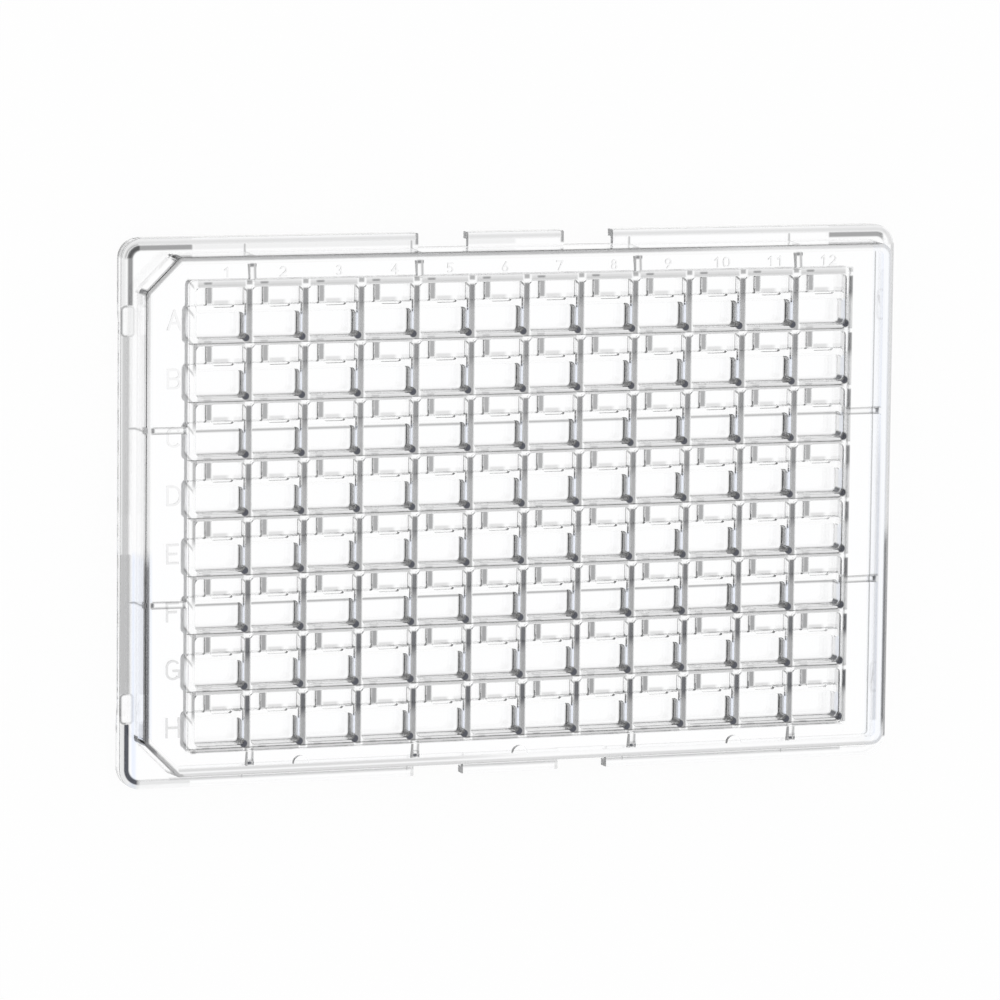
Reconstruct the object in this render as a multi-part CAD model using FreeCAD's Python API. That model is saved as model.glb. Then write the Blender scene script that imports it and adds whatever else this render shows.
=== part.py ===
import FreeCAD, Part
import math
import os

# A low microplate for protein crystals, moulded in one piece of clear polystyrene on the
# standard microplate footprint. Its 96 cells stand in 12 columns and 8 rows. Each cell has a
# shelf towards row A, with a small and a large drop well, and a deeper reservoir towards row H.
# Millimetres. The plate lies flat with its openings up. X runs along the numbered columns,
# Y runs from row H up to row A, and Z = 0 is the face that it stands on.

V = FreeCAD.Vector

# Grid of cells
COLUMNS = 12
ROWS = 8
PITCH = 9.0
PARTITION = 1.0

# Footprint and heights
END_MARGIN = 9.88
SIDE_MARGIN = 6.74
HEIGHT = 8.0
RIM_STEP = 0.15
FLANGE_HEIGHT = 2.4
FOOT_RADIUS = 3.2

# Deck and its side wall
DECK_INSET = 2.55
DECK_THICKNESS = 1.2
SIDE_WALL = 1.2
WALL_SPREAD = 0.35
KEY_CHAMFER = 5.3
KEY_ROUND = 1.0
DECK_CORNER = 2.0
DECK_ROUND = 0.4

# Cell
BORDER = 0.6
SHELF_DEPTH = 1.3
SHELF_LENGTH = 3.9
SMALL_DROP = 2.05
LARGE_DROP_TOE = 3.4
DROP_DIVIDER = 0.9
DROP_DEPTH = 0.9
DROP_LIP = 1.0
TOE_REACH = 0.3
DROP_CORNER = 0.35
DROP_FLOOR = 1.0
RESERVOIR_DEPTH = 3.8
RESERVOIR_FLOOR = 1.2
CELL_CORNER = 0.8
RESERVOIR_ROUND = 0.5
RIM_ROUND = 0.15
BAR_WALL = 0.9
BAR_ROUND = 0.2

# Flange under the side wall
FLANGE_WALL = 1.1
LEDGE_THICKNESS = 1.1
CORNER_LENGTH = 11.3
CAPSULE_LENGTH = 4.5
CAPSULE_BEND = 1.35
FOOT_RISE = 0.5
FOOT_SAG = 0.1
LEDGE_ROUND = 0.3
GAP_END = 16.08
TAB_HALF_LENGTH = 7.9

# Ribs and pads under the deck, beside grid lines counted from column 1 and from row A
RIB = 1.0
RIB_SHIFT = 0.8
RIB_DEPTH = 1.7
RIB_TOE = 0.9
RIB_COLUMN_LINES = (1, 4, 8, 11)
RIB_ROW_LINES = (2.5, 5.5)
PAD_COLUMN_LINES = (2, 6, 10)
PAD_RADIUS = 1.2
PAD_DROP = 0.8

# Lettering, raised from the deck
LETTER_HEIGHT = 2.8
NUMBER_HEIGHT = 1.4
LETTER_STROKE = 0.36
NUMBER_STROKE = 0.22
LETTER_OFFSET = 3.0
LETTER_DROP = 0.87
NUMBER_OFFSET = 1.8
NUMBER_SHIFT = 0.85
GLYPH_WIDTH = 0.7
GLYPH_GAP = 0.4

# Worked out from the values above
OPENING = PITCH - PARTITION
LENGTH = COLUMNS * PITCH + 2 * END_MARGIN
WIDTH = ROWS * PITCH + 2 * SIDE_MARGIN
GRID_X = COLUMNS * PITCH / 2
GRID_Y = ROWS * PITCH / 2
BLOCK_X = GRID_X + BORDER
BLOCK_Y = GRID_Y + BORDER
DECK_X = LENGTH / 2 - DECK_INSET
DECK_Y = WIDTH / 2 - DECK_INSET
DECK_TOP = HEIGHT - RIM_STEP
DECK_UNDERSIDE = DECK_TOP - DECK_THICKNESS
LEDGE_UNDERSIDE = FLANGE_HEIGHT - LEDGE_THICKNESS
SHELF_TOP = HEIGHT - SHELF_DEPTH
SHELF_UNDERSIDE = SHELF_TOP - DROP_DEPTH - DROP_FLOOR
RESERVOIR_BOTTOM = HEIGHT - RESERVOIR_DEPTH
BAR_UNDERSIDE = RESERVOIR_BOTTOM - RESERVOIR_FLOOR
HALF = OPENING / 2
SHELF_FRONT = HALF - SHELF_LENGTH
RELIEF = RIM_STEP

# How far fused solids sink into each other, how far a cutting tool runs past what it
# cuts, and how close two heights count as the same
OVERLAP = 0.02
RUN_OUT = 1.0
TOUCH = 1e-4


def box(x0, y0, z0, x1, y1, z1):
    return Part.makeBox(x1 - x0, y1 - y0, z1 - z0, V(x0, y0, z0))


def loop(points, z):
    return Part.makePolygon([V(x, y, z) for x, y in points + points[:1]])


def frustum(low, z_low, high, z_high):
    """Solid with flat sides between two anticlockwise outlines that have as many corners."""
    faces = [Part.Face(loop(low[::-1], z_low)), Part.Face(loop(high, z_high))]
    for i in range(len(low)):
        j = (i + 1) % len(low)
        side = [V(*low[i], z_low), V(*low[j], z_low), V(*high[j], z_high), V(*high[i], z_high)]
        faces.append(Part.Face(Part.makePolygon(side + side[:1])))
    shell = Part.makeShell(faces)
    shell.sewShape()
    return Part.makeSolid(shell)


def rectangle(x0, y0, x1, y1):
    return [(x0, y0), (x1, y0), (x1, y1), (x0, y1)]


def level_edges(shape, z):
    """Edges that lie wholly at height z."""
    return [edge for edge in shape.Edges
            if abs(edge.BoundBox.ZMin - z) < TOUCH and abs(edge.BoundBox.ZMax - z) < TOUCH]


def rising_edges(shape):
    """Edges that rise from one level to another."""
    return [edge for edge in shape.Edges if edge.BoundBox.ZLength > OVERLAP]


def column_middle(column):
    return (column + 0.5) * PITCH - GRID_X


def row_middle(row):
    return GRID_Y - (row + 0.5) * PITCH


def rounded_space(x0, y0, z0, x1, y1, z1, corner):
    """Upright space with rounded corners."""
    space = box(x0, y0, z0, x1, y1, z1)
    return space.makeFillet(corner, rising_edges(space))


def drop_wells():
    """Small well, then the large one, whose toe reaches further towards the reservoir."""
    front = SHELF_FRONT + DROP_LIP
    large = SMALL_DROP + DROP_DIVIDER - HALF
    spans = [(-HALF, SMALL_DROP - HALF, front), (large, HALF, front),
             (large, large + LARGE_DROP_TOE, front - TOE_REACH)]
    return [rounded_space(x0, y0, SHELF_TOP - DROP_DEPTH, x1, HALF, SHELF_TOP + OVERLAP, DROP_CORNER)
            for x0, x1, y0 in spans]


def cell_space():
    """Everything that is hollow in one cell, with the middle of its opening at the origin."""
    top = HEIGHT + OVERLAP
    mouth = rounded_space(-HALF, -HALF, SHELF_TOP, HALF, HALF, top, CELL_CORNER)
    mouth = mouth.fuse(box(-PITCH / 2, -PITCH / 2, top, PITCH / 2, PITCH / 2, top + RUN_OUT))
    reach = HALF + RIM_ROUND
    rim = [edge for edge in level_edges(mouth, top)
           if abs(edge.CenterOfMass.x) < reach and abs(edge.CenterOfMass.y) < reach]
    mouth = mouth.makeFillet(RIM_ROUND, rim)
    reservoir = rounded_space(-HALF, -HALF, RESERVOIR_BOTTOM, HALF, SHELF_FRONT, SHELF_TOP + OVERLAP,
                              CELL_CORNER)
    reservoir = reservoir.makeFillet(RESERVOIR_ROUND, level_edges(reservoir, RESERVOIR_BOTTOM))
    return mouth.fuse([reservoir] + drop_wells()).removeSplitter()


def at_cells(shape):
    """Copies of one cell's shape, one in each cell of the grid."""
    return [shape.translated(V(column_middle(column), row_middle(row), 0))
            for column in range(COLUMNS) for row in range(ROWS)]


def deck_outline(inset):
    """Outline a set distance inside the deck's, with two cut corners on the column 1 side."""
    x = DECK_X - inset
    y = DECK_Y - inset
    cut = KEY_CHAMFER - inset * (2 - math.sqrt(2))
    return [(-x + cut, -y), (x, -y), (x, y), (-x + cut, y), (-x, y - cut), (-x, -y + cut)]


def round_deck(shape, less=0):
    """Rounds a deck outline's square corners, and more tightly the ends of its cut corners."""
    square = [edge for edge in rising_edges(shape) if edge.CenterOfMass.x > 0]
    shape = shape.makeFillet(DECK_CORNER - less, square)
    ends = [edge for edge in rising_edges(shape) if edge.CenterOfMass.x < 0]
    return shape.makeFillet(KEY_ROUND, ends)


def deck_body():
    body = round_deck(frustum(deck_outline(-WALL_SPREAD), LEDGE_UNDERSIDE, deck_outline(0), DECK_TOP))
    return body.makeFillet(DECK_ROUND, level_edges(body, DECK_TOP))


def deck_hollow():
    """Space under the deck, inside the side wall."""
    low = deck_outline(SIDE_WALL - WALL_SPREAD)
    hollow = frustum(low, LEDGE_UNDERSIDE - OVERLAP, deck_outline(SIDE_WALL), DECK_UNDERSIDE)
    return round_deck(hollow, SIDE_WALL)


def foot_prism(inset, z0, z1):
    """Upright prism on the plate's footprint, brought in all round."""
    x = LENGTH / 2 - inset
    y = WIDTH / 2 - inset
    prism = box(-x, -y, z0, x, y, z1)
    return prism.makeFillet(FOOT_RADIUS - inset, rising_edges(prism))


def raised_foot():
    """Space under the middle of both short sides, with a curved end beside each corner foot."""
    half_length = WIDTH / 2 - CORNER_LENGTH
    end = half_length - CAPSULE_LENGTH
    right = [V(0, end, FOOT_RISE), V(0, half_length - CAPSULE_BEND, FOOT_RISE - FOOT_SAG),
             V(0, half_length, -OVERLAP)]
    left = [V(0, -p.y, p.z) for p in reversed(right)]
    edges = [Part.Arc(*right).toShape(), Part.makeLine(right[-1], left[0]),
             Part.Arc(*left).toShape(), Part.makeLine(left[-1], right[0])]
    return Part.Face(Part.Wire(edges)).extrude(V(LENGTH, 0, 0)).translated(V(-LENGTH / 2, 0, 0))


def flange():
    band = foot_prism(0, 0, FLANGE_HEIGHT)
    band = band.makeFillet(LEDGE_ROUND, level_edges(band, FLANGE_HEIGHT))
    band = band.cut(foot_prism(FLANGE_WALL, -OVERLAP, LEDGE_UNDERSIDE))
    gaps = []
    for side in (-1, 1):
        near, far = sorted((side * (DECK_Y + WALL_SPREAD), side * WIDTH))
        for end in (-1, 1):
            x0, x1 = sorted((end * TAB_HALF_LENGTH, end * GAP_END))
            gaps.append(box(x0, near, -RUN_OUT, x1, far, HEIGHT))
    return band.cut([raised_foot()] + gaps)


def reservoir_bar(row):
    """Solid bar under one row, for its reservoirs."""
    front = row_middle(row) + SHELF_FRONT + BAR_WALL
    back = row_middle(row) - HALF - BAR_WALL
    end = BLOCK_X - OVERLAP
    beam = box(-end, back, BAR_UNDERSIDE, end, front, SHELF_UNDERSIDE + OVERLAP)
    beam = beam.makeFillet(CELL_CORNER, rising_edges(beam))
    return beam.makeFillet(BAR_ROUND, level_edges(beam, BAR_UNDERSIDE))


def well_block():
    """Solid block that holds the cells, with a bar under each row."""
    block = box(-BLOCK_X, -BLOCK_Y, SHELF_UNDERSIDE, BLOCK_X, BLOCK_Y, HEIGHT)
    block = block.makeFillet(CELL_CORNER, rising_edges(block))
    block = block.makeFillet(RIM_ROUND, level_edges(block, HEIGHT))
    return block.fuse([reservoir_bar(row) for row in range(ROWS)])


def gusset(reach):
    """Rib along +Y from the block at 0 to the side wall, deepest at the wall."""
    start = -BORDER / 2
    side = [V(0, start, DECK_UNDERSIDE - RIB_TOE), V(0, reach, DECK_UNDERSIDE - RIB_DEPTH),
            V(0, reach, DECK_UNDERSIDE + OVERLAP), V(0, start, DECK_UNDERSIDE + OVERLAP)]
    rib = Part.Face(Part.makePolygon(side + side[:1])).extrude(V(RIB, 0, 0))
    return rib.translated(V(-RIB / 2, 0, 0))


def ribs():
    made = []
    for turn in (0, 180):
        for line in RIB_COLUMN_LINES:
            rib = gusset(DECK_Y - BLOCK_Y - SIDE_WALL / 2)
            rib.translate(V(line * PITCH - GRID_X + RIB_SHIFT, BLOCK_Y, 0))
            if turn:
                rib = rib.mirror(V(0, 0, 0), V(0, 1, 0))
            made.append(rib)
        for line in RIB_ROW_LINES:
            rib = gusset(DECK_X - BLOCK_X - SIDE_WALL / 2)
            rib.translate(V(0, BLOCK_X, 0))
            rib.rotate(V(0, 0, 0), V(0, 0, 1), 90 + turn)
            rib.translate(V(0, GRID_Y - line * PITCH, 0))
            made.append(rib)
    return made


def pads():
    """Round pads under the deck, half sunk in the side wall of the row H side."""
    made = []
    for line in PAD_COLUMN_LINES:
        foot = V(line * PITCH - GRID_X, -DECK_Y + SIDE_WALL, DECK_UNDERSIDE - PAD_DROP)
        made.append(Part.makeCylinder(PAD_RADIUS, PAD_DROP + OVERLAP, foot))
    return made


def line(x0, y0, x1, y1):
    return ("line", x0, y0, x1, y1)


def bow(x, y, radius, start, end):
    return ("bow", x, y, radius, start, end)


ROUND_LEFT = [bow(0.35, 0.65, 0.35, 35, 180), line(0, 0.35, 0, 0.65), bow(0.35, 0.35, 0.35, 180, 325)]
STEM = [line(0, 0, 0, 1)]
GLYPHS = {
    "A": [line(0, 0, 0.35, 1), line(0.35, 1, 0.7, 0), line(0.12, 0.34, 0.58, 0.34)],
    "B": STEM + [line(0, 1, 0.4, 1), line(0, 0.5, 0.4, 0.5), line(0, 0, 0.4, 0),
                 bow(0.4, 0.75, 0.25, -90, 90), bow(0.4, 0.25, 0.25, -90, 90)],
    "C": ROUND_LEFT,
    "D": STEM + [line(0, 1, 0.3, 1), line(0, 0, 0.3, 0), line(0.7, 0.4, 0.7, 0.6),
                 bow(0.3, 0.6, 0.4, 0, 90), bow(0.3, 0.4, 0.4, -90, 0)],
    "E": STEM + [line(0, 0, 0.6, 0), line(0, 0.5, 0.5, 0.5), line(0, 1, 0.6, 1)],
    "F": STEM + [line(0, 0.5, 0.5, 0.5), line(0, 1, 0.6, 1)],
    "G": ROUND_LEFT + [line(0.4, 0.45, 0.7, 0.45), line(0.7, 0.1, 0.7, 0.45)],
    "H": STEM + [line(0.7, 0, 0.7, 1), line(0, 0.5, 0.7, 0.5)],
    "0": [bow(0.35, 0.65, 0.35, 0, 180), bow(0.35, 0.35, 0.35, 180, 360),
          line(0, 0.35, 0, 0.65), line(0.7, 0.35, 0.7, 0.65)],
    "1": [line(0.4, 0, 0.4, 1), line(0.1, 0.75, 0.4, 1)],
    "2": [bow(0.35, 0.68, 0.32, -20, 170), line(0.62, 0.5, 0.03, 0), line(0.03, 0, 0.68, 0)],
    "3": [bow(0.32, 0.75, 0.25, -90, 160), bow(0.32, 0.26, 0.26, -160, 90)],
    "4": [line(0.5, 0, 0.5, 1), line(0.5, 1, 0, 0.3), line(0, 0.3, 0.7, 0.3)],
    "5": [line(0.1, 1, 0.62, 1), line(0.1, 0.55, 0.1, 1), bow(0.32, 0.3, 0.3, -150, 135)],
    "6": [bow(0.35, 0.3, 0.3, 0, 360), line(0.07, 0.42, 0.45, 1)],
    "7": [line(0, 1, 0.65, 1), line(0.65, 1, 0.2, 0)],
    "8": [bow(0.35, 0.76, 0.23, 0, 360), bow(0.35, 0.26, 0.27, 0, 360)],
    "9": [bow(0.35, 0.7, 0.3, 0, 360), line(0.63, 0.58, 0.25, 0)],
}


def stroke_solid(stroke, size, half, origin):
    """One stroke of a raised character, a straight line or a bow, standing on the deck."""
    depth = RELIEF + OVERLAP
    foot = origin + V(stroke[1] * size, stroke[2] * size, 0)
    if stroke[0] == "bow":
        radius, start, end = stroke[3] * size, stroke[4], stroke[5]
        ring = Part.makeCylinder(radius + half, depth, foot, V(0, 0, 1), end - start)
        ring = ring.cut(Part.makeCylinder(radius - half, depth, foot))
        return ring.rotate(foot, V(0, 0, 1), start)
    run = origin + V(stroke[3] * size, stroke[4] * size, 0) - foot
    solid = Part.makeBox(run.Length + 2 * half, 2 * half, depth, foot - V(half, half, 0))
    return solid.rotate(foot, V(0, 0, 1), math.degrees(math.atan2(run.y, run.x)))


def label(text, size, half, x, y):
    """Raised text with its middle at x, y, in strokes twice as wide as half."""
    advance = (GLYPH_WIDTH + GLYPH_GAP) * size
    left = x - (advance * len(text) - GLYPH_GAP * size) / 2
    strokes = []
    for i, character in enumerate(text):
        origin = V(left + i * advance, y - size / 2, DECK_TOP - OVERLAP)
        strokes += [stroke_solid(stroke, size, half, origin) for stroke in GLYPHS[character]]
    return strokes


def lettering():
    strokes = []
    for row in range(ROWS):
        strokes += label(chr(ord("A") + row), LETTER_HEIGHT, LETTER_STROKE / 2,
                         -GRID_X - LETTER_OFFSET, row_middle(row) - LETTER_DROP)
    for column in range(COLUMNS):
        strokes += label(str(column + 1), NUMBER_HEIGHT, NUMBER_STROKE / 2,
                         column_middle(column) + NUMBER_SHIFT, GRID_Y + NUMBER_OFFSET)
    return strokes


def well_plate():
    shell = deck_body().fuse(flange()).cut(deck_hollow())
    body = shell.fuse([well_block()] + ribs() + pads() + lettering())
    return body.cut(Part.makeCompound(at_cells(cell_space()))).removeSplitter()


os.makedirs("parts", exist_ok=True)
plate = well_plate()
plate.exportStep("parts/well_plate.step")
print("well_plate", plate.isValid(), len(plate.Solids), len(plate.Faces), plate.Volume, plate.BoundBox)
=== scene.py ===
import math

import bmesh
import bpy
from mathutils import Matrix, Vector


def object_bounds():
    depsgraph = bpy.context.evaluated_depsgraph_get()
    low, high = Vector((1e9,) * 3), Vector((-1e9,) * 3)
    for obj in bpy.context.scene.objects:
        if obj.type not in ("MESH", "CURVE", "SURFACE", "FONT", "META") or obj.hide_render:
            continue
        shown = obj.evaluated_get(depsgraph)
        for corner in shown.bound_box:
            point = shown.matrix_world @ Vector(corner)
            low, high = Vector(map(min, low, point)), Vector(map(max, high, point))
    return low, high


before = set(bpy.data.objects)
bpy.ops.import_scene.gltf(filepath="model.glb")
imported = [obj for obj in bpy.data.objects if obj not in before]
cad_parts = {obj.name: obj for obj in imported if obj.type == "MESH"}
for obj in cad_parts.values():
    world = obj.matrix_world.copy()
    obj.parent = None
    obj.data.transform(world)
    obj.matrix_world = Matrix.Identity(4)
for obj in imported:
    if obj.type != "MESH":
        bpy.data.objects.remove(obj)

# Looks of a clear polystyrene microplate on a white floor, in a white studio. Metres.
# X runs along the numbered columns, Y runs from row H up to row A, and Z points out of the cells.
# The dark lines that steep clear walls show by refraction are painted shade on the plastic, placed where the
# camera sees them.
# From behind or from the side the same painted shade shows as small dark spots and posts.

MM = 0.001
cad_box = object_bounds()
low, high = cad_box

# Outside of the plate, and the floor just under its feet
HALF_LENGTH = high[0]
HALF_WIDTH = high[1]
TOP = high[2]
FLOOR_GAP = 0.05 * MM
FLOOR_TOP = low[2] - FLOOR_GAP

# Grid of cells. Its lines run along the middles of the walls between cells.
COLUMNS = 12
ROWS = 8
PITCH = 9 * MM
HALF_CELL = 4 * MM
BORDER = 0.6 * MM
GRID_X = COLUMNS / 2 * PITCH
GRID_Y = ROWS / 2 * PITCH
BLOCK_X = GRID_X + BORDER
BLOCK_Y = GRID_Y + BORDER

# Heights in a cell, and places along Y from the cell's middle
NEAR_TOP = TOP - 0.3 * MM
SHELF_TOP = TOP - 1.3 * MM
DROP_BOTTOM = TOP - 2.2 * MM
RESERVOIR_BOTTOM = TOP - 3.8 * MM
SHELF_FRONT = 0.1 * MM
DROP_FRONT = 1.1 * MM

# Deck and its side wall
DECK_INSET = 2.55 * MM
DECK_X = HALF_LENGTH - DECK_INSET
DECK_Y = HALF_WIDTH - DECK_INSET
DECK_CORNER = 2 * MM
KEY_CHAMFER = 5.3 * MM
DECK_UNDERSIDE = TOP - 1.35 * MM
SIDE_WALL = 1.2 * MM

# Ribs under the deck, as distances from the middle of the plate
RIB_ROW = 1.5 * PITCH
RIB_COLUMNS = (2 * PITCH, 5 * PITCH)
RIB_SHIFT = 0.8 * MM
RIB_HALF = 0.5 * MM

# Flange, with a gap and a tab in the middle of each long side
LEDGE_TOP = 2.4 * MM
FOOT_RADIUS = 3.2 * MM
CORNER_LENGTH = 11.3 * MM
GAP_END = 16.08 * MM
TAB_END = 7.9 * MM

# Painted shade. SOFT is half the width of its edges, and the painted shade is stronger below DIM_BELOW in Y.
SOFT = 0.18 * MM
DIM_BELOW = -6 * MM
DIM_SOFT = 20 * MM
LINE_HALF = 0.45 * MM
LAST_SHIFT = 0.4 * MM

# Colours of the clear plastic, and of its blue and its dark painted shade
CLEAR = (0.995, 0.996, 1, 1)
BLUE_SHADE = (0.84, 0.89, 1, 1)
PAINTED_SHADE = (0.003, 0.0035, 0.006, 1)

# Camera, and the directions that are right and up in its picture
LENS = 227.7
SENSOR = 36
CAMERA_RIGHT = Vector((0.9453, 0.0108, 0.3260))
CAMERA_UP = Vector((0.0316, 0.9917, -0.1245))
CAMERA_PLACE = Vector((-0.3242, 0.1275, TOP + 0.9239))


class Shade:
    """One output in a node tree. Arithmetic on it adds Math nodes to the tree."""

    def __init__(self, tree, socket=None):
        self.tree = tree
        self.socket = socket

    def node(self, kind, settings=None, inputs=None, output=0):
        """Adds a node, sets its properties and then its sockets, and gives one of its outputs."""
        made = self.tree.nodes.new(kind)
        for name, value in (settings or {}).items():
            setattr(made, name, value)
        for name, value in (inputs or {}).items():
            if isinstance(value, Shade):
                self.tree.links.new(value.socket, made.inputs[name])
            else:
                made.inputs[name].default_value = value
        return Shade(self.tree, made.outputs[output] if made.outputs else None)

    def math(self, operation, *values):
        return self.node("ShaderNodeMath", {"operation": operation}, dict(enumerate(values)))

    def __add__(self, other):
        return self.math("ADD", self, other)

    def __sub__(self, other):
        return self.math("SUBTRACT", self, other)

    def __rsub__(self, other):
        return self.math("SUBTRACT", other, self)

    def __mul__(self, other):
        return self.math("MULTIPLY", self, other)

    def __truediv__(self, other):
        return self.math("DIVIDE", self, other)

    def __abs__(self):
        return self.math("ABSOLUTE", self)

    __radd__ = __add__
    __rmul__ = __mul__

    def least(self, other):
        return self.math("MINIMUM", self, other)

    def most(self, other):
        return self.math("MAXIMUM", self, other)

    def above(self, edge, soft=SOFT):
        """0 below an edge and 1 above it, with a soft change between."""
        return self.node("ShaderNodeMapRange", {"interpolation_type": "SMOOTHSTEP"},
                         {"Value": self, "From Min": edge - soft, "From Max": edge + soft})

    def below(self, edge, soft=SOFT):
        return 1 - self.above(edge, soft)

    def between(self, start, end, soft=SOFT):
        return self.above(start, soft) * self.below(end, soft)

    def near(self, place, reach, soft=SOFT):
        return abs(self - place).below(reach, soft)

    def from_line(self):
        """Signed distance from the nearest line of the grid."""
        return self.math("WRAP", self, PITCH / 2, -PITCH / 2)

    def from_middle(self):
        """Signed distance from the middle of the cell."""
        return (self - PITCH / 2).from_line()


def new_material(name):
    material = bpy.data.materials.new(name)
    material.use_nodes = True
    material.node_tree.nodes.clear()
    return material, Shade(material.node_tree)


def length(a, b):
    squares = a * a + b * b
    return squares.math("SQRT", squares)


def strongest(*shades):
    result = shades[0]
    for shade in shades[1:]:
        result = result.most(shade)
    return result


def in_last_column(x):
    return x.above(GRID_X - PITCH / 2)


def between_columns(x, y):
    """Where the walls between columns run, with the block's column 12 side."""
    return x.above(-GRID_X + 1 * MM) * x.below(BLOCK_X) * abs(y).below(BLOCK_Y)


def column_wall_shade(x, y, z):
    """Painted shade on the walls between columns: dark along their tops, and beside the reservoirs."""
    beside = x.from_line()
    along = y.from_middle()
    last = in_last_column(x)
    towards_shelf = along.above(0.3 * MM, 1 * MM)
    crossing = y.from_line().between(-0.75 * MM, -0.1 * MM)
    line = (beside - last * LAST_SHIFT).near(-0.07 * MM, LINE_HALF) * (1 - crossing)
    tone = towards_shelf * (last * 0.3 + 0.13) + 0.86 - last * 0.3
    top = z.above(NEAR_TOP) * line * tone * between_columns(x, y)

    reservoirs = along.between(-HALF_CELL, SHELF_FRONT) * abs(x).below(GRID_X - HALF_CELL)
    low_wall = z.between(RESERVOIR_BOTTOM - 0.3 * MM, TOP - 2 * MM) * reservoirs
    side = low_wall * beside.near(0, 0.6 * MM) * abs(y).below(BLOCK_Y) * 0.9
    return top.most(side)


def crossing_shade(x, y, z):
    """Painted shade: dark bends where walls cross, at the rim and deeper beside the reservoirs."""
    beside_column = x.from_line()
    beside_row = y.from_line()
    at_rim = length(beside_column + 0.6 * MM, beside_row - 0.7 * MM).below(0.67 * MM)
    at_rim = at_rim * z.above(TOP - 0.9 * MM)
    shift = in_last_column(x) * LAST_SHIFT + 0.15 * MM
    deeper = length(beside_column + shift, beside_row - 0.65 * MM).below(0.64 * MM)
    deeper = deeper * z.between(RESERVOIR_BOTTOM + 0.5 * MM, TOP - 1.2 * MM)
    # Slightly over 1, to make up for the overall weakening of the painted shade
    strength = 1.07
    return at_rim.most(deeper) * y.below(GRID_Y - HALF_CELL) * strength * between_columns(x, y)


def row_wall_shade(x, y, z):
    """Painted shade on walls between rows: grey tops with a darker notch in each, and grey beside the
    reservoirs.
    """
    beside = y.from_line()
    clear_of_crossings = 1 - x.from_line().near(0, 0.7 * MM)
    inside = abs(x).below(GRID_X) * abs(y).below(BLOCK_Y) * clear_of_crossings
    top = z.above(NEAR_TOP) * beside.near(0, LINE_HALF, 0.25 * MM)
    top = top * (beside.below(0, 0.4 * MM) * 0.2 + 0.46)
    side = beside.near(0.5 * MM, 0.2 * MM) * z.above(RESERVOIR_BOTTOM) * 0.33
    notch = beside.near(0.15 * MM, 0.25 * MM) * x.from_middle().near(-2.2 * MM, 0.8 * MM, 0.4 * MM)
    notch = notch * z.above(NEAR_TOP) * (y.above(GRID_Y - 1 * MM) * 0.2 + 0.75)
    return strongest(top, side, notch) * inside


def block_end_shade(x, y, z):
    """Painted shade at the column 1 end of the block: grey along its wall's top, and slanted steps outside
    it.
    """
    along = y.from_middle()
    inner = x.near(-GRID_X + 0.35 * MM, 0.4 * MM) * z.above(NEAR_TOP)
    inner = inner * along.above(0.3 * MM, 1 * MM) * y.below(GRID_Y - PITCH) * 0.8
    slant = (x + GRID_X + 0.65 * MM) * 1.2
    at_line = (slant + y.from_line()).near(0.45 * MM, 0.25 * MM)
    at_middle = (slant + along).near(0.55 * MM, 0.25 * MM)
    outside = x.between(-GRID_X - 1.3 * MM, -GRID_X + 0.1 * MM) * z.above(TOP - 0.5 * MM)
    steps = at_line.most(at_middle) * outside * 0.6
    return inner.most(steps) * abs(y).below(BLOCK_Y)


def shelf_shade(x, y, z):
    """Painted shade on the strip between the drop wells, and on the front of the large one."""
    across = x.from_middle()
    along = y.from_middle()
    in_cells = abs(x).below(GRID_X) * abs(y).below(GRID_Y)
    behind = along.between(DROP_FRONT + 0.3 * MM, HALF_CELL + 0.2 * MM)
    divider = across.near(-1.6 * MM, 0.42 * MM) * behind
    divider = divider * z.between(DROP_BOTTOM, SHELF_TOP + 0.2 * MM) * 0.88
    front = along.between(DROP_FRONT, 1.8 * MM) * z.between(DROP_BOTTOM - 0.2 * MM, SHELF_TOP - 0.3 * MM)
    middle = across.between(-0.7 * MM, 1.8 * MM, 0.4 * MM) * 0.42
    end = across.above(2.7 * MM) * 0.2
    return divider.most(front * middle.most(end)) * in_cells


def past_deck(x, y):
    """Distance past the deck's outline, and past the lines of its two cut corners alone."""
    past_x = abs(x) - DECK_X
    past_y = abs(y) - DECK_Y
    rounded = length((past_x + DECK_CORNER).most(0), (past_y + DECK_CORNER).most(0)) - DECK_CORNER
    cut = (past_x + past_y + KEY_CHAMFER) / math.sqrt(2) - x.above(0) * PITCH
    return rounded.most(cut), cut


def deck_edge_shade(x, y, z):
    """Painted shade where the side wall is seen end on along the deck's edge, with the thin lines on both
    sides of it.
    """
    past_x = abs(x) - DECK_X
    past_y = abs(y) - DECK_Y
    past, cut = past_deck(x, y)
    row_a_side = past_y.above(-2 * MM) * y.above(0) * x.below(30 * MM, 10 * MM)
    low_side = past_x.above(-2 * MM) * y.below(DIM_BELOW, 2 * MM) * past_y.below(-3 * MM, 1.5 * MM)
    darker = (row_a_side * 0.3 + low_side * 0.47).most(cut.above(-0.8 * MM) * 0.3)
    lighter = x.below(0) * y.near(9 * MM, 14 * MM, 3 * MM) * past_x.above(-2 * MM) * 0.15
    rim = past.near(-0.1 * MM, 0.5 * MM) * z.above(TOP - 1.3 * MM) * (darker - lighter + 0.5)

    row_h_side = y.below(0) * abs(x).below(DECK_X - KEY_CHAMFER)
    on_ledge = z.between(LEDGE_TOP - 0.3 * MM, LEDGE_TOP + 0.2 * MM)
    foot = past_y.between(0.95 * MM, 1.5 * MM) * on_ledge * row_h_side * 0.5
    on_deck = z.above(NEAR_TOP)
    inner_row = past_y.near(-1.05 * MM, 0.25 * MM) * x.below(-5 * MM, 10 * MM) * on_deck * row_h_side * 0.5
    inner_side = past_x.near(-1.75 * MM, 0.35 * MM, 0.3 * MM) * x.above(0) * past_y.below(-4 * MM)
    inner_side = inner_side * on_deck * (y.below(8 * MM, 6 * MM) * 0.33 + 0.12)
    return strongest(rim, foot, inner_row, inner_side)


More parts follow.
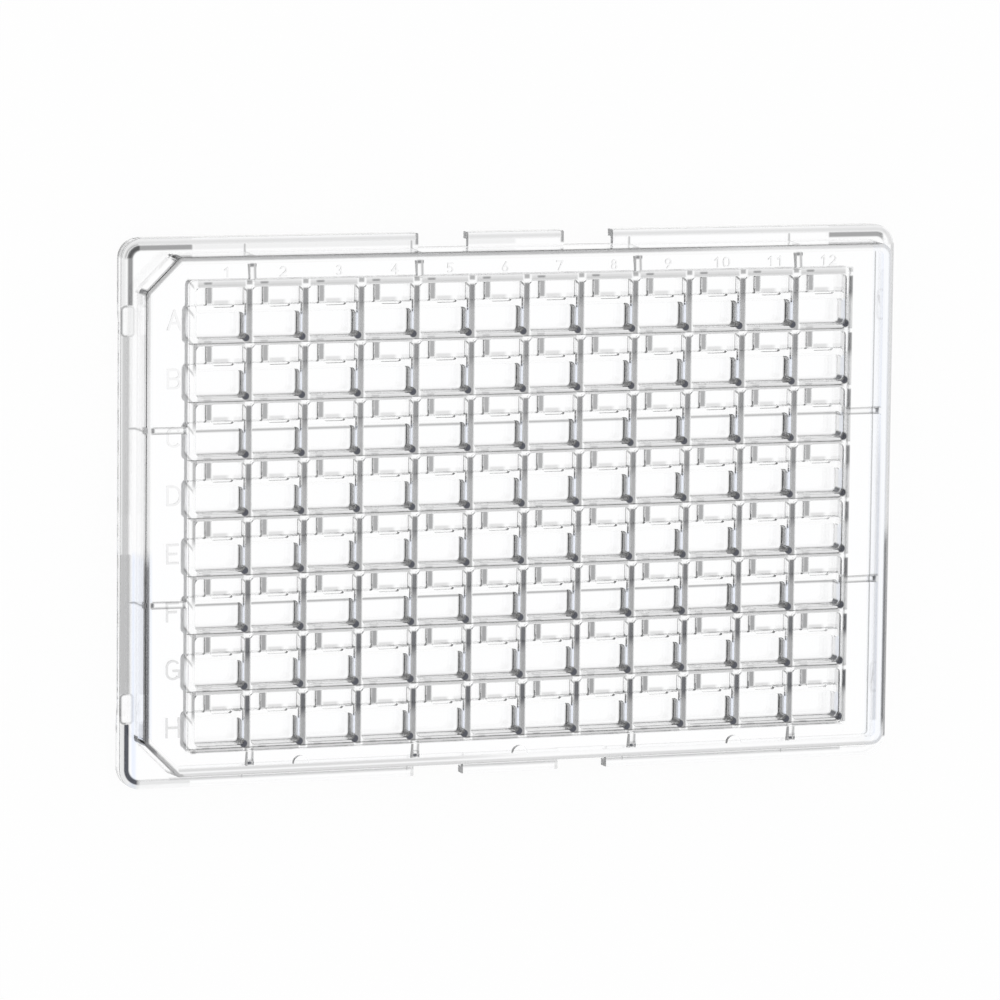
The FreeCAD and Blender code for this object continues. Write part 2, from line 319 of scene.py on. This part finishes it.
def rib_shade(x, y, z):
    """Painted shade on the sides of the ribs under the deck, their joints with the side wall, and its cut
    corners.
    """
    past, _ = past_deck(x, y)
    to_row_rib = abs(abs(y) - RIB_ROW)
    near_rib, far_rib = (abs(abs(x - RIB_SHIFT) - place) for place in RIB_COLUMNS)
    on_ends = abs(y).below(GRID_Y)
    across = to_row_rib * on_ends + near_rib.least(far_rib) * (1 - on_ends)
    under = z.between(DECK_UNDERSIDE - 3 * MM, DECK_UNDERSIDE - 0.05 * MM, 0.04 * MM)
    sides = across.near(RIB_HALF, 0.2 * MM) * under * past.below(-SIDE_WALL) * 0.8
    joint = across.below(LINE_HALF) * past.near(-1.5 * MM, 0.3 * MM) * under
    hook = across.near(0, 0.15 * MM) * past.between(0, 1.5 * MM) * z.above(LEDGE_TOP - 0.3 * MM) * 0.85

    past_x = abs(x) - DECK_X
    past_y = abs(y) - DECK_Y
    to_corner = length(past_x, past_y + KEY_CHAMFER).least(length(past_x + KEY_CHAMFER, past_y))
    on_wall = z.between(LEDGE_TOP + 1.8 * MM, TOP - 0.2 * MM)
    corner = to_corner.below(LINE_HALF) * x.below(0) * on_wall
    return strongest(sides, joint, hook, corner)


def inside_flange(x, y):
    """Distance inside the flange's outline, and how far a place is into its rounded corners."""
    past_x = (abs(x) - (HALF_LENGTH - FOOT_RADIUS)).most(0)
    past_y = (abs(y) - (HALF_WIDTH - FOOT_RADIUS)).most(0)
    return FOOT_RADIUS - length(past_x, past_y), past_x, past_y


def skirt_shade(x, y, z, on_ledge):
    """Painted shade for the skirt of the corner feet seen end on through the ledge, and along the column 12
    side.
    """
    inset, past_x, past_y = inside_flange(x, y)
    from_side = HALF_LENGTH - abs(x)
    left = x.below(0)
    row_a = y.above(0)
    corner = (HALF_WIDTH - abs(y)).below(CORNER_LENGTH - 1 * MM) * from_side.below(CORNER_LENGTH)
    row_a_run = row_a * (left + past_x.below(1.2 * MM)).least(1)
    seen = strongest(left * from_side.below(FOOT_RADIUS, 0.8 * MM), row_a_run * 0.95, left * 0.35)
    line = (inset + y.below(0, 20 * MM) * 0.4 * MM).near(1.45 * MM, 0.42 * MM)
    skirt = line * corner * seen * (y.below(0) * 0.1 + 0.97)
    bend = line * past_x.above(0.1 * MM) * past_y.above(0.1 * MM) * left * row_a
    outside = inset.between(-0.2 * MM, 0.7 * MM) * corner * seen * 0.28
    column_12 = inset.near(0.3 * MM, 0.35 * MM) * x.above(0) * from_side.below(FOOT_RADIUS)
    column_12 = column_12 * past_y.below(0.3 * MM) * (y.below(DIM_BELOW, 2 * MM) * 0.3 + 0.55)
    return (strongest(skirt, outside, column_12) * on_ledge).most(bend)


def short_side_shade(x, y, on_ledge):
    """Painted shade: grey band along the column 1 side, and the capsule outlines at the ends of both sides.
    """
    inset, _, _ = inside_flange(x, y)
    left = x.below(0)
    from_end = HALF_WIDTH - abs(y)
    below_middle = y.below(DIM_BELOW)
    band = inset.near(0.75 * MM, (below_middle * 0.25 + 0.6) * MM, 0.3 * MM)
    band = band * from_end.above(CORNER_LENGTH + 3.6 * MM) * left * (below_middle * 0.06 + 0.68)

    past_inset = (abs(inset - 1.05 * MM) - 0.35 * MM).most(0)
    past_end = (abs(from_end - CORNER_LENGTH - 1.4 * MM) - 1.7 * MM).most(0)
    capsule = length(past_inset, past_end).near(0.6 * MM, 0.18 * MM)
    capsule = capsule * (left * inset.below(1 * MM) * 0.5 + 0.4)
    return band.most(capsule) * (HALF_LENGTH - abs(x)).below(FOOT_RADIUS) * on_ledge


def long_side_shade(x, y, on_ledge):
    """Painted shade on the outer edge of the row A side, and at the ends of the gap and the tab on both long
    sides.
    """
    inset, _, _ = inside_flange(x, y)
    from_end = HALF_WIDTH - abs(y)
    towards_a = y.above(0, 5 * MM)
    edge = inset.near(0.65 * MM, 0.35 * MM, 0.3 * MM) * from_end.below(FOOT_RADIUS) * towards_a * 0.45
    dark_ends = x.near(-GAP_END, 0.5 * MM).most(x.near(TAB_END, 0.5 * MM)) * 0.9
    faint_ends = x.near(-TAB_END, 0.3 * MM).most(x.near(GAP_END, 0.3 * MM)) * 0.15
    ends = dark_ends.most(faint_ends) * from_end.below(1.8 * MM) * (towards_a * 0.6 + 0.4)
    return edge.most(ends) * on_ledge


def flange_shade(x, y, z):
    """All the painted shade in the flange, nearly all of it on the ledge's top."""
    on_ledge = z.between(LEDGE_TOP - 0.4 * MM, LEDGE_TOP + 0.3 * MM)
    return strongest(skirt_shade(x, y, z, on_ledge), short_side_shade(x, y, on_ledge),
                     long_side_shade(x, y, on_ledge))


def letter_shade(x, y, z):
    """Painted shade on the tops of the raised letters and numbers."""
    off_block = abs(x).above(GRID_X + 1 * MM).most(abs(y).above(GRID_Y + 1 * MM))
    on_letters = z.above(TOP - 0.07 * MM, 0.03 * MM)
    return off_block * on_letters * (y.below(DIM_BELOW, DIM_SOFT) * 0.25 + 0.15)


def blue_painted_shade(x, y, z):
    """Faint blue painted shade on the tall walls and along the deck's ends."""
    wall = x.from_line().near(0, 0.6 * MM) * y.from_middle().below(0)
    wall = wall * z.between(TOP - 2.1 * MM, NEAR_TOP) * abs(x).below(BLOCK_X) * abs(y).below(GRID_Y)
    strip = (x - DECK_X).between(-1.7 * MM, -0.4 * MM) * abs(y).below(DECK_Y) * 0.45
    low_side = (x + DECK_X).between(-0.6 * MM, 0.1 * MM) * z.below(TOP - 1.2 * MM)
    low_side = low_side * y.below(DIM_BELOW, 1 * MM) * 0.9
    return strongest(wall, strip, low_side)


def frosted_ends(x, y, z):
    """Cut faces that are left matt: the ends of the block, and the gap and tab ends facing column 1."""
    block_ends = abs(x).near(BLOCK_X, 0.3 * MM) * abs(y).below(GRID_Y + 2 * MM) * z.below(DECK_UNDERSIDE)
    tab_ends = x.near(-TAB_END, 0.15 * MM, 0.05 * MM).most(x.near(GAP_END, 0.15 * MM, 0.05 * MM))
    return block_ends.most(tab_ends * abs(y).above(DECK_Y) * z.below(LEDGE_TOP - 0.1 * MM))


def clear_polystyrene():
    """Clear, faintly uneven plastic with painted shade on it, which casts only a faint shadow."""
    material, shade = new_material("clear_polystyrene")
    place = shade.node("ShaderNodeTexCoord", output="Object")
    x, y, z = (shade.node("ShaderNodeSeparateXYZ", inputs={"Vector": place}, output=axis) for axis in "XYZ")

    blue_shade_amount = blue_painted_shade(x, y, z)
    painted_shade_parts = (column_wall_shade, crossing_shade, row_wall_shade, block_end_shade, shelf_shade,
                  deck_edge_shade, rib_shade, flange_shade, letter_shade)
    # All the painted shade, taken where it is strongest, then made a little stronger towards row H
    dark = strongest(*[part(x, y, z) for part in painted_shade_parts])
    dark = dark * (y.below(DIM_BELOW, DIM_SOFT) * 0.06 + 0.94)
    # The plastic's clear colour, turned blue and then dark where the painted shade falls
    colour = shade.node("ShaderNodeMix", {"data_type": "RGBA"}, {0: blue_shade_amount, 6: CLEAR, 7: BLUE_SHADE}, output=2)
    colour = shade.node("ShaderNodeMix", {"data_type": "RGBA"}, {0: dark, 6: colour, 7: PAINTED_SHADE}, output=2)

    flow = shade.node("ShaderNodeTexNoise", inputs={"Vector": place, "Scale": 160, "Detail": 2})
    fine = shade.node("ShaderNodeTexNoise", inputs={"Vector": place, "Scale": 2400, "Detail": 4})
    bump = shade.node("ShaderNodeBump", inputs={"Strength": 0.3, "Distance": 0.02 * MM, "Height": flow})
    roughness = fine.above(0.68, 0.12) * 0.04 + frosted_ends(x, y, z) * 0.5
    plastic = shade.node("ShaderNodeBsdfPrincipled", inputs={
        "Base Color": colour, "Roughness": roughness, "IOR": 1.59, "Transmission Weight": 1, "Normal": bump})
    lets_lamps_through = shade.node("ShaderNodeBsdfTransparent", inputs={"Color": (0.93, 0.94, 0.95, 1)})
    is_shadow = shade.node("ShaderNodeLightPath", output="Is Shadow Ray")
    mixed = shade.node("ShaderNodeMixShader", inputs={0: is_shadow, 1: plastic, 2: lets_lamps_through})
    shade.node("ShaderNodeOutputMaterial", inputs={"Surface": mixed})
    return material


def white_floor():
    """White floor that glows to the camera and through the plastic, and takes a faint shadow."""
    material, shade = new_material("white_floor")
    paper = shade.node("ShaderNodeBsdfDiffuse", inputs={"Color": (0.9, 0.9, 0.9, 1)})
    field = shade.node("ShaderNodeEmission", inputs={"Color": (1, 1, 1, 1), "Strength": 1})
    straight, mirrored, through = (shade.node("ShaderNodeLightPath", output=name)
                                   for name in ("Is Camera Ray", "Is Glossy Ray", "Is Transmission Ray"))
    lit = strongest(straight * 0.93, mirrored, through)
    mixed = shade.node("ShaderNodeMixShader", inputs={0: lit, 1: paper, 2: field})
    shade.node("ShaderNodeOutputMaterial", inputs={"Surface": mixed})
    material.cycles.emission_sampling = "NONE"
    mesh = bpy.data.meshes.new("floor")
    grid = bmesh.new()
    place = Matrix.Translation((0, 0, FLOOR_TOP))
    bmesh.ops.create_grid(grid, x_segments=1, y_segments=1, size=3, matrix=place)
    grid.to_mesh(mesh)
    grid.free()
    mesh.materials.append(material)
    floor = bpy.data.objects.new("floor", mesh)
    bpy.context.scene.collection.objects.link(floor)


def studio_world():
    """White all round, but grey to what is seen through the plastic, except high overhead."""
    world = bpy.data.worlds.new("studio")
    bpy.context.scene.world = world
    world.use_nodes = True
    world.node_tree.nodes.clear()
    shade = Shade(world.node_tree)
    direction = shade.node("ShaderNodeTexCoord", output="Generated")
    height = shade.node("ShaderNodeSeparateXYZ", inputs={"Vector": direction}, output="Z")
    through = shade.node("ShaderNodeLightPath", output="Is Transmission Ray")
    white, grey = (shade.node("ShaderNodeBackground", inputs={"Color": (1, 1, 1, 1), "Strength": strength})
                   for strength in (1, 0.5))
    dim = through * height.below(0.86, 0.04)
    mixed = shade.node("ShaderNodeMixShader", inputs={0: dim, 1: white, 2: grey})
    shade.node("ShaderNodeOutputWorld", inputs={"Surface": mixed})


def camera():
    """Looks down across the plate from the column 1 and row A corner, with a long lens."""
    data = bpy.data.cameras.new("camera")
    data.lens = LENS
    data.sensor_width = SENSOR
    data.clip_start = 0.05
    data.clip_end = 10
    target = bpy.data.objects.new("camera", data)
    turn = Matrix((CAMERA_RIGHT, CAMERA_UP, CAMERA_RIGHT.cross(CAMERA_UP))).transposed()
    target.matrix_world = Matrix.Translation(CAMERA_PLACE) @ turn.to_4x4()
    bpy.context.scene.collection.objects.link(target)
    bpy.context.scene.camera = target


camera()
studio_world()
white_floor()
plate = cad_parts["well_plate"]
plate.data.materials.clear()
plate.data.materials.append(clear_polystyrene())
bpy.context.scene.view_settings.view_transform = "Standard"
